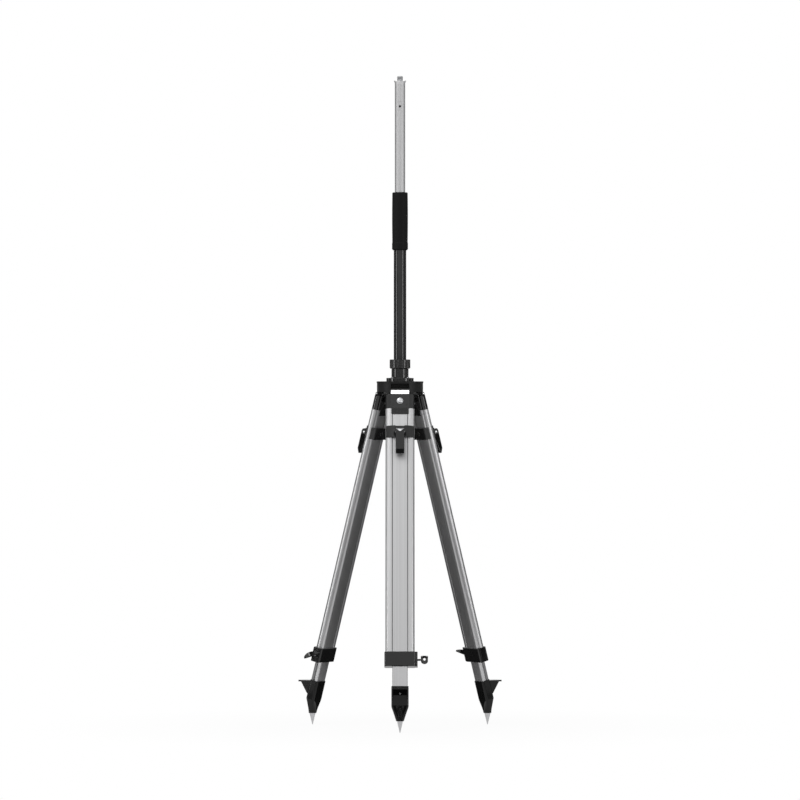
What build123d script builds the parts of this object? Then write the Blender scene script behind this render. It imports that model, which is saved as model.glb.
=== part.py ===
"""Survey pole tripod: three extending aluminium legs under a cast head that clamps a telescoping pole.

Millimetres. +Z is up, the ground is z = 0 and the pole's axis is the Z axis. The front leg stands towards -Y.
Leg pieces are drawn hanging straight down in the leg's own frame and then swung out into place. That frame's
origin is on the hinge axis, X runs along that axis, -Y faces away from the pole and the leg hangs down -Z.
"""

import os
from math import atan2, cos, radians, sin

from build123d import *

os.makedirs("parts", exist_ok=True)

# Clearances
run_gap = 0.08  # turning fits, on the radius
seat_gap = 0.05  # between pieces that are fixed together
slide_gap = 0.35  # between the telescoping leg sections
open_gap = 0.6  # between pieces that swing past each other

# Stance
leg_splay = 15.05  # each leg's lean from vertical, degrees
hinge_radius = 45.4  # pole axis to each hinge axis
leg_turns = {"front": 0, "right": 120, "left": 240}

# Hinge axle
axle_radius = 10.0
axle_flat_depth = 1.6
axle_flat_tilt = 28.0  # the flat faces this far above level, degrees
journal_radius = 3.5
rivet_radius = 4.0
rivet_height = 4.5

# Leg rails
leg_width = 74.0
leg_depth = 21.0
rail_wall = 1.8
rail_length = 648.5
rail_tongue = 2.4  # rib that runs in the inner leg's groove
tongue_depth = 5.0
corner_round = 1.2

# Inner leg
inner_width = 39.0
inner_inset = 1.0  # the inner leg's faces stand this far in from the rails'
inner_wall = 2.0
inner_shown = 51.6  # collar's bottom to the shoe's top with the leg pushed in
groove_depth = 3.2

# Hinge casting and the jaw that pinches it on the axle
casting_drop = 4.0  # hinge axis to the casting's shoulders
casting_height = 38.0
casting_round = 1.5
knuckle_wall = 3.1
post_length = 26.0  # how far the casting reaches into the rails
spacer_height = 14.5
spacer_cover = 44.5
cover_height = 1.4
cover_ribs = 3
rib_gap = 1.6
rib_gap_depth = 0.8
jaw_width = 50.0
jaw_thickness = 4.0
jaw_proud = 1.5
bolt_drop = 18.4  # casting's shoulders to the bolt
bolt_radius = 3.0
bolt_head_radius = 7.0
bolt_head_height = 3.4
nut_flats = 10.0
bolt_nut_height = 4.0
dimple_radius = 1.6
dimple_depth = 1.2
dimple_spread = 17.3
dimple_drop = 11.0

# Upper clamp: front band, back plate and cam lever
band_drop = 88.5  # hinge axis to the band's top
band_height = 30.5
band_wall = 1.65
band_bulge = 6.4  # how far the band's middle stands out past its wall
bulge_width = 62.0
front_inset = 1.25  # the band stops this short of the rails' edges
back_wrap = 5.4  # leg's middle plane to the back's edges, towards the pole
back_depth = 6.5  # how far the back stands out behind the rails
back_taper = 6.0  # the back narrows by this at each side
back_round = 2.5
boss_radius = 5.0
boss_height = 1.8
side_dimple_radius = 2.0
side_dimple_depth = 0.9
side_dimple_drop = 6.0
lever_width = 22.0
lever_wall = 2.5
lever_length = 57.5  # pin to tip
lever_root = 10.0  # cam radius about the pin
lever_tip_depth = 8.0
lever_tip_slope = 11.5  # the tip is bent in over this length
lever_tip_set = 5.5
lever_bend_round = 5.0
notch_width = 28.0
notch_depth = 10.5
lever_pin_out = 26.0  # leg's middle plane to the pin
lever_pin_drop = 20.0  # band's top to the pin
lever_pin_radius = 3.0
ear_thickness = 4.0
ear_radius = 6.0
pad_height = 13.0

# Lower collar and its thumb screw
collar_width = 79.0
collar_depth = 25.0
collar_height = 38.0
collar_round = 5.0
collar_seat = 12.0  # how far the rails sit in it
collar_chamfer = 1.0
screw_block = 5.0  # how far the screw's block stands out at the collar's side
screw_block_depth = 19.0
screw_radius = 3.0
screw_drop = 19.5  # collar's top to the screw
screw_neck_radius = 2.3
screw_neck_length = 8.0
loop_span = 48.0
loop_reach = 18.5  # along the screw
loop_bar = 4.7
loop_end_bar = 7.0
loop_sole = 2.0  # the loop's flat side below the screw's axis
loop_tip = 2.4  # thickness at the loop's ends
loop_crown = 8.5  # the loop's top above the screw's axis
loop_lean = 19.0  # the loop's outer end below level, degrees

# Foot shoe, tread and spike
shoe_width = 43.6
shoe_depth = 24.0
shoe_round = 5.0
shoe_straight = 50.0
shoe_taper = 36.7
shoe_seat = 36.0  # how far the inner leg sits in it
shoe_neck_radius = 10.0
shoe_toe_in = 6.0  # the spike's base stands this far towards the pole
tread_drop = 2.6  # shoe's top to the tread, at the shoe's face
tread_reach = 37.5
tread_thickness = 4.0
tread_round = 8.0
tread_web = 3.2  # the two webs under the tread
web_inset = 0.8
web_reach = 27.5
web_height = 33.0
shoe_grooves = 3
shoe_groove_pitch = 6.0
shoe_groove_width = 2.6
shoe_groove_length = 24.0
shoe_groove_depth = 1.2
spike_radius = 7.6
spike_tip_radius = 0.8
spike_length = 29.6
spike_tail_radius = 4.5
spike_tail = 14.0

# Tripod head
head_radius = 59.2
head_height = 27.4
head_over_hinge = 3.8  # the head's underside above the hinge axis
rim_lip = 0.8
rim_height = 4.0
slab = 6.0  # over the leg slots
slot_width = 46.6
slot_wall = 14.5  # metal between the pole's socket and a leg slot
lug_radius = 7.0
lug_width = 13.7

# Pole socket, collet and clamp nut
flange_radius = 35.0
flange_height = 8.8
socket_floor = 2.0
neck_radius = 21.85
neck_height = 23.1
thread_radius = 20.2
thread_height = 13.0
nut_radius = 26.5
nut_height = 23.6
nut_roof = 4.4
nut_flutes = 12
flute_radius = 4.0
flute_depth = 1.2
nut_chamfer = 2.0
collet_wall = 2.4
collet_height = 14.0
collet_depth = 8.0  # how far it sits down in the neck
collet_slits = 4
slit_width = 1.6
screw_count = 4
screw_circle = 28.3
flange_screw_radius = 2.0
flange_screw_head = 3.6
flange_head_height = 2.4
flange_screw_length = 11.0

# Pole
pole_radius = 16.0
pole_wall = 1.5
grip_above_nut = 280.4
grip_length = 148.7
grip_end_radius = 19.75
grip_middle_radius = 20.3
grip_bead_proud = 0.7
grip_bead_height = 18.0
grip_bead_step = 2.0
grip_round = 2.5
grip_chamfer = 3.0
grip_cap = 2.6  # the grip's roof over the tube's end
bush_length = 30.0
upper_radius = 13.25
upper_wall = 1.5
upper_shown = 277.4  # grip's top to the upper tube's top
upper_overlap = 80.0
pin_hole_radius = 2.9
spot_depth = 0.9  # flat round the pin hole
pin_hole_drop = 57.0  # upper tube's top to the hole

# Top fitting and instrument stud
fitting_height = 8.0
fitting_spigot = 25.0
prong_lean = 2.6
prong_height = 6.0
prong_rise = 1.2  # prongs' tips above the fitting's top
prong_wall = 3.0
prong_arc = 46.0
stud_radius = 7.94
stud_length = 13.0
stud_chamfer = 1.0
stud_tail_radius = 5.0
stud_tail = 14.0

# Places that follow from the sizes above, measured down from the hinge axis
casting_bottom = casting_drop + casting_height
rail_bottom = casting_bottom + rail_length
spacer_bottom = casting_bottom + spacer_height
spacer_middle = casting_bottom + spacer_height / 2
bolt_at = casting_drop + bolt_drop
lever_pin_at = band_drop + lever_pin_drop
lever_tip_at = lever_pin_at + lever_length
collar_top = rail_bottom - collar_seat
collar_bottom = collar_top + collar_height
screw_at = collar_top + screw_drop
shoe_top = collar_bottom + inner_shown
shoe_waist = shoe_top + shoe_straight
shoe_bottom = shoe_waist + shoe_taper
inner_top = spacer_bottom + open_gap
inner_bottom = shoe_top + shoe_seat
inner_length = inner_bottom - inner_top

# Distances across the leg, from its middle
rail_inner = inner_width / 2 + slide_gap
spacer_half = rail_inner - seat_gap
leg_front = leg_depth / 2
inner_depth = leg_depth - 2 * inner_inset
front_width = leg_width - 2 * front_inset
jaw_front = leg_front + jaw_proud
jaw_back = jaw_front - jaw_thickness
band_front = leg_front + seat_gap + band_wall
band_edge = leg_width / 2 + seat_gap + band_wall
bulge_front = band_front + band_bulge
back_face = leg_front + back_depth
back_width = leg_width - 2 * back_taper
lever_front = lever_pin_out + lever_root
cam_face = lever_pin_out - lever_root
pad_back = inner_depth / 2 + slide_gap
ear_centre = lever_width / 2 + open_gap + ear_thickness / 2
knuckle_bore = axle_radius + run_gap
knuckle_radius = knuckle_bore + knuckle_wall
knuckle_width = slot_width - 2 * open_gap
lug_face = slot_width / 2 + lug_width
lug_clear = lug_radius + open_gap
block_face = collar_width / 2 + screw_block
screw_end = inner_width / 2 + 2 * slide_gap
loop_middle = block_face + screw_neck_length + loop_reach / 2
web_middle = shoe_width / 2 - web_inset - tread_web / 2
shoe_front_fall = shoe_depth / 2 + shoe_toe_in - shoe_neck_radius  # over the taper

# Heights above the ground
splay = radians(leg_splay)
hinge_height = shoe_toe_in * sin(splay) + shoe_bottom * cos(splay) + spike_length
head_bottom = hinge_height + head_over_hinge
head_top = head_bottom + head_height
flange_top = head_top + flange_height
neck_top = flange_top + neck_height
thread_top = neck_top + thread_height
nut_bottom = neck_top + open_gap
nut_top = nut_bottom + nut_height
pole_bottom = head_top + socket_floor
collet_bottom = thread_top - collet_depth
grip_bottom = nut_top + grip_above_nut
grip_top = grip_bottom + grip_length
pole_top = grip_top - grip_cap
upper_top = grip_top + upper_shown
upper_bottom = pole_top - upper_overlap
fitting_top = upper_top + fitting_height

# Radii about the pole's axis
socket_bore = pole_radius + slide_gap
collet_bore = pole_radius + run_gap
collet_radius = collet_bore + collet_wall
slot_inner = socket_bore + slot_wall
slot_outer = head_radius + 2 * rim_lip


def write(piece, name):
    """Label a finished piece and write it as its own file."""
    piece.label = name
    export_step(piece, f"parts/{name}.step")


def write_on_legs(piece, name):
    """Write one copy of a leg piece for each leg, swung out about that leg's hinge."""
    for leg, turn in leg_turns.items():
        leg_place = Rot(0, 0, turn) * Pos(0, -hinge_radius, hinge_height) * Rot(-leg_splay, 0, 0)
        write(leg_place * piece, f"{leg}_{name}")


def across_leg(drop):
    """Plane square to the leg, this far below the hinge axis."""
    return Plane.XY.offset(-drop)


def facing_leg(drop, out):
    """Plane parallel to the leg's outer face, its X along the hinge axis and its Y up the leg."""
    return Plane((0, -out, -drop), x_dir=(1, 0, 0), z_dir=(0, -1, 0))


def level_in_leg(drop, out):
    """Plane that is level once the leg is swung out."""
    return Plane((0, -out, -drop), x_dir=(1, 0, 0), z_dir=(0, -sin(splay), cos(splay)))


def across_hinge(turn, along):
    """Plane square to one leg's hinge axis, at this place along it, with its origin on that axis."""
    around = Rot(0, 0, turn) * Pos(along, -hinge_radius, hinge_height)
    return Plane(around * Plane.YZ.location)


# Hinge axle: bright barrel between the head's lugs, flat where it shows, with a journal and a riveted end
# through each lug
flat_turn = radians(axle_flat_tilt - leg_splay)
flat_plane = Plane((0, 0, 0), x_dir=(1, 0, 0), z_dir=(0, -cos(flat_turn), sin(flat_turn)))
with BuildPart() as hinge_axle:
    with BuildSketch(Plane.YZ):
        Circle(axle_radius)
    extrude(amount=slot_width / 2 - seat_gap, both=True)
    with BuildSketch(flat_plane.offset(axle_radius)):
        Rectangle(slot_width, 2 * axle_radius)
    extrude(amount=-axle_flat_depth, mode=Mode.SUBTRACT)
    with BuildSketch(Plane.YZ):
        Circle(journal_radius)
    extrude(amount=lug_face + seat_gap, both=True)
    for side in (-1, 1):
        with BuildSketch(Plane.YZ.offset(side * (lug_face + seat_gap))):
            Circle(rivet_radius)
        extrude(amount=side * rivet_height)
    rivet_rims = hinge_axle.edges().filter_by(GeomType.CIRCLE).sort_by(Axis.X)
    fillet([rivet_rims[0], rivet_rims[-1]], rivet_height / 2)
write_on_legs(hinge_axle.part, "hinge_axle")

# Hinge casting: caps the rails, clears the head's lugs, wraps the axle from behind and spaces the rails below
# with a ribbed block
with BuildPart() as casting:
    with BuildSketch(across_leg(casting_drop)):
        SlotOverall(leg_width, leg_depth)
    extrude(amount=-casting_height)
    fillet(casting.edges().group_by(Axis.Z)[-1], casting_round)
    with BuildSketch(Plane.YZ):
        Circle(knuckle_radius)
        with Locations((0, -casting_drop)):
            Rectangle(leg_depth, casting_drop)
        with Locations((-knuckle_radius, knuckle_radius)):
            Rectangle(2 * knuckle_radius, 2 * knuckle_radius, mode=Mode.SUBTRACT)
    extrude(amount=knuckle_width / 2, both=True)
    with BuildSketch(across_leg(casting_bottom)):
        SlotOverall(leg_width - 2 * rail_wall - 2 * seat_gap, leg_depth - 2 * rail_wall - 2 * seat_gap)
        Rectangle(2 * (rail_inner + rail_wall + seat_gap), leg_depth, mode=Mode.SUBTRACT)
    extrude(amount=-post_length)
    with BuildSketch(across_leg(casting_bottom)):
        Rectangle(2 * spacer_half, leg_depth)
        with GridLocations(2 * spacer_half - groove_depth, 0, 2, 1):
            Rectangle(groove_depth, tongue_depth + 2 * slide_gap, mode=Mode.SUBTRACT)
    extrude(amount=-spacer_height)
    with BuildSketch(facing_leg(spacer_middle, leg_front)):
        Rectangle(2 * spacer_half, spacer_height)
    extrude(amount=cover_height)
    with BuildSketch(facing_leg(spacer_middle, leg_front + seat_gap)):
        Rectangle(spacer_cover, spacer_height)
    extrude(amount=cover_height)
    with BuildSketch(facing_leg(spacer_middle, leg_front + seat_gap + cover_height)):
        with GridLocations(0, spacer_height / (cover_ribs + 1), 1, cover_ribs):
            Rectangle(spacer_cover, rib_gap)
    extrude(amount=-rib_gap_depth, mode=Mode.SUBTRACT)
    with BuildSketch(facing_leg(casting_bottom / 2, jaw_back - seat_gap)):
        Rectangle(jaw_width + 2 * seat_gap, casting_bottom)
    extrude(amount=2 * jaw_thickness, mode=Mode.SUBTRACT)
    with BuildSketch(Plane.YZ):
        Circle(knuckle_bore)
    extrude(amount=slot_width / 2 + open_gap, both=True, mode=Mode.SUBTRACT)
    with BuildSketch(Plane.YZ):
        Circle(lug_clear)
    extrude(amount=leg_width, both=True, mode=Mode.SUBTRACT)
    with BuildSketch(facing_leg(bolt_at, leg_depth)):
        Circle(bolt_radius + seat_gap)
    extrude(amount=-2 * leg_depth, mode=Mode.SUBTRACT)
write_on_legs(casting.part, "hinge_casting")

# Clamp jaw: front plate that the pinch bolt draws on to the axle
with BuildPart() as jaw:
    with BuildSketch(facing_leg(casting_drop + casting_height / 2, jaw_back)):
        Rectangle(jaw_width, casting_height)
    extrude(amount=jaw_thickness)
    chamfer(jaw.faces().sort_by(Axis.Y)[0].outer_wire().edges(), corner_round / 2)
    with BuildSketch(Plane.YZ):
        Circle(knuckle_bore)
    extrude(amount=leg_width, both=True, mode=Mode.SUBTRACT)
    with BuildSketch(facing_leg(bolt_at, jaw_front)):
        Circle(bolt_radius + seat_gap)
    extrude(amount=-jaw_thickness, mode=Mode.SUBTRACT)
    with BuildSketch(facing_leg(bolt_at + dimple_drop, jaw_front)):
        with GridLocations(2 * dimple_spread, 0, 2, 1):
            Circle(dimple_radius)
    extrude(amount=-dimple_depth, mode=Mode.SUBTRACT)
write_on_legs(jaw.part, "clamp_jaw")

# Pinch bolt: domed head on the jaw, shank through the casting and a nut behind
with BuildPart() as pinch_bolt:
    with BuildSketch(facing_leg(bolt_at, jaw_front)):
        Circle(bolt_head_radius)
    extrude(amount=bolt_head_height)
    fillet(pinch_bolt.edges().group_by(Axis.Y)[0], bolt_head_height - corner_round / 2)
    with BuildSketch(facing_leg(bolt_at, jaw_front)):
        Circle(bolt_radius)
    extrude(amount=-jaw_front - leg_front)
    with BuildSketch(facing_leg(bolt_at, -leg_front)):
        RegularPolygon(nut_flats / 2, 6, major_radius=False)
    extrude(amount=-bolt_nut_height)
write_on_legs(pinch_bolt.part, "pinch_bolt")

# Leg rails: hollow extrusions, round on the outside, with a rib down the inner face
with BuildPart() as right_rail:
    with BuildSketch(across_leg(casting_bottom)) as rail_section:
        SlotOverall(leg_width, leg_depth)
        with Locations((rail_inner - leg_width / 2, 0)):
            Rectangle(leg_width, leg_depth, mode=Mode.SUBTRACT)
        fillet(rail_section.vertices().group_by(Axis.X)[0], corner_round)
        offset(amount=-rail_wall, mode=Mode.SUBTRACT)
        with Locations((rail_inner + (rail_wall - rail_tongue) / 2, 0)):
            Rectangle(rail_wall + rail_tongue, tongue_depth)
    extrude(amount=-rail_length)
write_on_legs(right_rail.part, "rail_right")

with BuildPart() as left_rail:
    mirror(right_rail.part, about=Plane.YZ)
write_on_legs(left_rail.part, "rail_left")

# Inner leg: flat hollow extrusion with a groove down each edge
with BuildPart() as inner_leg:
    with BuildSketch(across_leg(inner_top)):
        RectangleRounded(inner_width, inner_depth, corner_round)
        with GridLocations(inner_width - groove_depth, 0, 2, 1):
            Rectangle(groove_depth, tongue_depth + 2 * slide_gap, mode=Mode.SUBTRACT)
        cavity_width = inner_width - 2 * (groove_depth + inner_wall)
        Rectangle(cavity_width, inner_depth - 2 * inner_wall, mode=Mode.SUBTRACT)
    extrude(amount=-inner_length)
write_on_legs(inner_leg.part, "inner_leg")

# Upper clamp band: sheet over the rails' front, bulging in the middle, with two ears for the lever's pin
with BuildPart() as band:
    with BuildSketch(across_leg(band_drop)):
        SlotOverall(2 * band_edge, 2 * band_front)
        with Locations((0, -band_front)):
            Rectangle(front_width, 2 * band_front, mode=Mode.INTERSECT)
        with BuildLine():
            bulge_start = (-bulge_width / 2, -band_front)
            bulge_end = (bulge_width / 2, -band_front)
            ThreePointArc(bulge_start, (0, -bulge_front), bulge_end)
            Line(bulge_end, bulge_start)
        make_face()
    extrude(amount=-band_height)
    for side in (-1, 1):
        with BuildSketch(Plane.YZ.offset(side * ear_centre)):
            with Locations((-lever_pin_out, -lever_pin_at)):
                Circle(ear_radius)
            with Locations((-(lever_pin_out + band_front) / 2, -lever_pin_at)):
                Rectangle(lever_pin_out - band_front, 2 * ear_radius)
        extrude(amount=ear_thickness / 2, both=True)
    with BuildSketch(facing_leg(band_drop + band_height / 2, band_front)):
        Rectangle(lever_width + 2 * open_gap, band_height)
    extrude(amount=2 * lever_pin_out, mode=Mode.SUBTRACT)
    with BuildSketch(across_leg(band_drop)):
        SlotOverall(leg_width + 2 * seat_gap, leg_depth + 2 * seat_gap)
    extrude(amount=-band_height, mode=Mode.SUBTRACT)
    with BuildSketch(facing_leg(lever_pin_at, 0)):
        Rectangle(lever_width, pad_height)
    extrude(amount=bulge_front, mode=Mode.SUBTRACT)
    with BuildSketch(Plane.YZ):
        with Locations((-lever_pin_out, -lever_pin_at)):
            Circle(lever_pin_radius + seat_gap)
    extrude(amount=leg_width, both=True, mode=Mode.SUBTRACT)
write_on_legs(band.part, "clamp_band")

# Clamp back: block on the rails' inner half that narrows towards the pole, with a round boss in its middle
# and a dimple at each side
with BuildPart() as clamp_back:
    with BuildSketch(across_leg(band_drop)) as back_section:
        with BuildLine():
            Polyline(
                (-leg_width / 2, back_wrap),
                (leg_width / 2, back_wrap),
                (back_width / 2, back_face),
                (-back_width / 2, back_face),
                close=True,
            )
        make_face()
        fillet(back_section.vertices().group_by(Axis.Y)[-1], back_round)
    extrude(amount=-band_height)
    with BuildSketch(facing_leg(band_drop + band_height / 2, -back_face)):
        Circle(boss_radius)
    extrude(amount=-boss_height)
    fillet(clamp_back.faces().sort_by(Axis.Y)[-1].edges(), boss_height / 2)
    with BuildSketch(across_leg(band_drop)):
        SlotOverall(leg_width + 2 * seat_gap, leg_depth + 2 * seat_gap)
    extrude(amount=-band_height, mode=Mode.SUBTRACT)
    dimple_at = -band_drop - side_dimple_drop
    for side in (-1, 1):
        side_middle = (side * (leg_width + back_width) / 4, (back_wrap + back_face) / 2, dimple_at)
        side_out = (side * (back_face - back_wrap), back_taper, 0)
        with BuildSketch(Plane(side_middle, x_dir=(0, 0, 1), z_dir=side_out)):
            Circle(side_dimple_radius)
        extrude(amount=-side_dimple_depth, mode=Mode.SUBTRACT)
write_on_legs(clamp_back.part, "clamp_back")

# Lever pin: plain rod through the ears
with BuildPart() as lever_pin:
    with BuildSketch(Plane.YZ):
        with Locations((-lever_pin_out, -lever_pin_at)):
            Circle(lever_pin_radius)
    extrude(amount=ear_centre + ear_thickness / 2, both=True)
    chamfer(lever_pin.edges().filter_by(GeomType.CIRCLE), corner_round / 2)
write_on_legs(lever_pin.part, "lever_pin")

# Clamp lever: channel that opens to the leg, its flanges rounded as cams about the pin, notched at the top
# and bent in at the tip
with BuildPart() as lever:
    with BuildSketch(Plane.YZ):
        with BuildLine():
            Polyline(
                (-lever_front, -lever_pin_at),
                (-lever_front, -lever_tip_at + lever_tip_slope),
                (-lever_front + lever_tip_set, -lever_tip_at),
                (-lever_front + lever_tip_depth, -lever_tip_at),
                (-cam_face, -lever_pin_at),
                close=True,
            )
        make_face()
        with Locations((-lever_pin_out, -lever_pin_at)):
            Circle(lever_root)
    extrude(amount=lever_width / 2, both=True)
    fillet(lever.edges().filter_by(Axis.X).group_by(Axis.Z)[1], lever_bend_round)
    fillet(lever.faces().filter_by(Axis.X).edges(), corner_round)
    channel_up = lever_root - lever_wall
    channel_down = lever_length - lever_tip_slope
    with BuildSketch(facing_leg(lever_pin_at + (channel_down - channel_up) / 2, lever_front - lever_wall)):
        Rectangle(lever_width - 2 * lever_wall, channel_down + channel_up)
    extrude(amount=-2 * lever_root, mode=Mode.SUBTRACT)
    with BuildSketch(facing_leg(lever_pin_at - lever_root, lever_front)):
        with BuildLine():
            Polyline((-notch_width / 2, 0), (notch_width / 2, 0), (0, -notch_depth), close=True)
        make_face()
    extrude(amount=-lever_root, mode=Mode.SUBTRACT)
    with BuildSketch(Plane.YZ):
        with Locations((-lever_pin_out, -lever_pin_at)):
            Circle(lever_pin_radius + run_gap)
    extrude(amount=lever_width, both=True, mode=Mode.SUBTRACT)
write_on_legs(lever.part, "clamp_lever")

# Pressure pad: block in the band's window, between the lever's cams and the inner leg
with BuildPart() as pad:
    with BuildSketch(facing_leg(lever_pin_at, pad_back)):
        Rectangle(lever_width - 2 * seat_gap, pad_height - 2 * seat_gap)
    extrude(amount=cam_face - open_gap - pad_back)
write_on_legs(pad.part, "pressure_pad")

# Lower collar: holds the rails' ends and guides the inner leg, with a block at one side for the thumb screw
with BuildPart() as collar:
    with BuildSketch(across_leg(collar_top)):
        RectangleRounded(collar_width, collar_depth, collar_round)
        with Locations((block_face / 2, 0)):
            Rectangle(block_face, screw_block_depth)
    extrude(amount=-collar_height)
    chamfer(collar.edges().group_by(Axis.Z)[0], collar_chamfer)
    chamfer(collar.edges().group_by(Axis.Z)[-1], collar_chamfer)
    with BuildSketch(across_leg(collar_top)):
        SlotOverall(leg_width + 2 * seat_gap, leg_depth + 2 * seat_gap)
    extrude(amount=-collar_seat - seat_gap, mode=Mode.SUBTRACT)
    with BuildSketch(across_leg(collar_top)):
        Rectangle(inner_width + 2 * slide_gap, inner_depth + 2 * slide_gap)
    extrude(amount=-collar_height, mode=Mode.SUBTRACT)
    with BuildSketch(Plane.YZ):
        with Locations((0, -screw_at)):
            Circle(screw_radius + run_gap)
    extrude(amount=2 * block_face, mode=Mode.SUBTRACT)
write_on_legs(collar.part, "collar")

# Thumb screw: plain shank in the collar's block, a thinner neck and a crowned loop to grip
loop_turn = radians(loop_lean + leg_splay)
loop_plane = Plane((loop_middle, 0, -screw_at), x_dir=(1, 0, 0), z_dir=(0, sin(loop_turn), -cos(loop_turn)))
loop_side = Plane((loop_middle, 0, -screw_at), x_dir=loop_plane.y_dir, z_dir=(1, 0, 0))
loop_edge = loop_sole - loop_tip
with BuildPart() as loop:
    with BuildSketch(loop_side):
        with BuildLine():
            crown = ThreePointArc((-loop_span / 2, loop_edge), (0, -loop_crown), (loop_span / 2, loop_edge))
            Polyline(crown @ 1, (loop_span / 2, loop_sole), (-loop_span / 2, loop_sole), crown @ 0)
        make_face()
    extrude(amount=loop_reach, both=True)
    with BuildSketch(loop_plane):
        Ellipse(loop_reach / 2, loop_span / 2)
        Ellipse(loop_reach / 2 - loop_bar, loop_span / 2 - loop_end_bar, mode=Mode.SUBTRACT)
    extrude(amount=loop_span, both=True, mode=Mode.INTERSECT)

with BuildPart() as thumb_screw:
    with BuildSketch(Plane.YZ.offset(screw_end)):
        with Locations((0, -screw_at)):
            Circle(screw_radius)
    extrude(amount=block_face - screw_end)
    with BuildSketch(Plane.YZ.offset(block_face)):
        with Locations((0, -screw_at)):
            Circle(screw_neck_radius)
    extrude(amount=screw_neck_length + loop_bar / 2)
    add(loop.part)
write_on_legs(thumb_screw.part, "thumb_screw")

# Foot shoe: socket on the inner leg, drawn in to an upright neck, with a level tread on two webs at the front
# and grooves down the taper
neck_plane = level_in_leg(shoe_bottom, -shoe_toe_in)
with BuildPart() as shoe:
    with BuildSketch(across_leg(shoe_top)):
        RectangleRounded(shoe_width, shoe_depth, shoe_round)
    extrude(amount=-shoe_straight)
    with BuildSketch(across_leg(shoe_waist)):
        RectangleRounded(shoe_width, shoe_depth, shoe_round)
    with BuildSketch(neck_plane):
        Circle(shoe_neck_radius)
    loft()
    with BuildSketch(level_in_leg(shoe_top + tread_drop, shoe_depth / 2)) as tread:
        with Locations((0, (shoe_round - tread_reach) / 2)):
            Rectangle(shoe_width, tread_reach + shoe_round)
        fillet(tread.vertices().group_by(Axis.Y)[0], tread_round)
    extrude(amount=-tread_thickness)
    web_top = -shoe_top - tread_drop - tread_thickness / 2
    web_bottom = web_top - web_height
    for side in (-1, 1):
        with BuildSketch(Plane.YZ.offset(side * web_middle)):
            with BuildLine():
                Polyline(
                    (0, web_top),
                    (-shoe_depth / 2 - web_reach * cos(splay), web_top - web_reach * sin(splay)),
                    (-shoe_depth / 2, web_bottom),
                    (0, web_bottom),
                    close=True,
                )
            make_face()
        extrude(amount=tread_web / 2, both=True)
    fall_turn = atan2(shoe_front_fall, shoe_taper)
    taper_middle = (0, (shoe_front_fall - shoe_depth) / 2, -shoe_waist - shoe_taper / 2)
    with BuildSketch(Plane(taper_middle, x_dir=(1, 0, 0), z_dir=(0, -cos(fall_turn), -sin(fall_turn)))):
        with GridLocations(shoe_groove_pitch, 0, shoe_grooves, 1):
            SlotOverall(shoe_groove_length, shoe_groove_width, rotation=90)
    extrude(amount=-shoe_groove_depth, mode=Mode.SUBTRACT)
    with BuildSketch(across_leg(shoe_top - shoe_depth)):
        Rectangle(inner_width + 2 * seat_gap, inner_depth + 2 * seat_gap)
    extrude(amount=-shoe_depth - shoe_seat - seat_gap, mode=Mode.SUBTRACT)
    with BuildSketch(neck_plane):
        Circle(spike_tail_radius + seat_gap)
    extrude(amount=spike_tail + seat_gap, mode=Mode.SUBTRACT)
write_on_legs(shoe.part, "shoe")

# Spike: steel cone, upright once the leg is swung out, with a tail up into the shoe
with BuildPart() as spike:
    with BuildSketch(neck_plane):
        Circle(spike_radius)
    with BuildSketch(neck_plane.offset(-spike_length)):
        Circle(spike_tip_radius)
    loft()
    with BuildSketch(neck_plane):
        Circle(spike_tail_radius)
    extrude(amount=spike_tail)
write_on_legs(spike.part, "spike")

# Tripod head: round casting with a slot for each leg and a lug either side of it for the hinge axle
with BuildPart() as head:
    with BuildSketch(Plane.XY.offset(head_bottom)):
        Circle(head_radius)
    extrude(amount=head_height)
    with BuildSketch(Plane.XY.offset(head_top - rim_height)):
        Circle(head_radius + rim_lip)
    extrude(amount=rim_height)
    for turn in leg_turns.values():
        with BuildSketch(across_hinge(turn, 0)):
            Circle(lug_radius)
        extrude(amount=lug_face, both=True)
    with BuildSketch(Plane.XY.offset(head_top - rim_height)):
        Circle(2 * head_radius)
        Circle(head_radius, mode=Mode.SUBTRACT)
    extrude(amount=-head_height - lug_radius, mode=Mode.SUBTRACT)
    with BuildSketch(Plane.XY.offset(head_top - slab)):
        with PolarLocations((slot_inner + slot_outer) / 2, 3, start_angle=-90):
            Rectangle(slot_outer - slot_inner, slot_width)
    extrude(amount=-head_height - lug_radius, mode=Mode.SUBTRACT)
    for turn in leg_turns.values():
        with BuildSketch(across_hinge(turn, 0)):
            Circle(journal_radius + seat_gap)
        extrude(amount=lug_face, both=True, mode=Mode.SUBTRACT)
        for side in (-1, 1):
            with BuildSketch(across_hinge(turn, side * lug_face)):
                Circle(rivet_radius + slide_gap)
            extrude(amount=side * 2 * rivet_height, mode=Mode.SUBTRACT)
    with BuildSketch(Plane.XY.offset(head_top)):
        with PolarLocations(screw_circle, screw_count, start_angle=45):
            Circle(flange_screw_radius + seat_gap)
    extrude(amount=flange_height - flange_screw_length, mode=Mode.SUBTRACT)
write(head.part, "head_hub")

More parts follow.
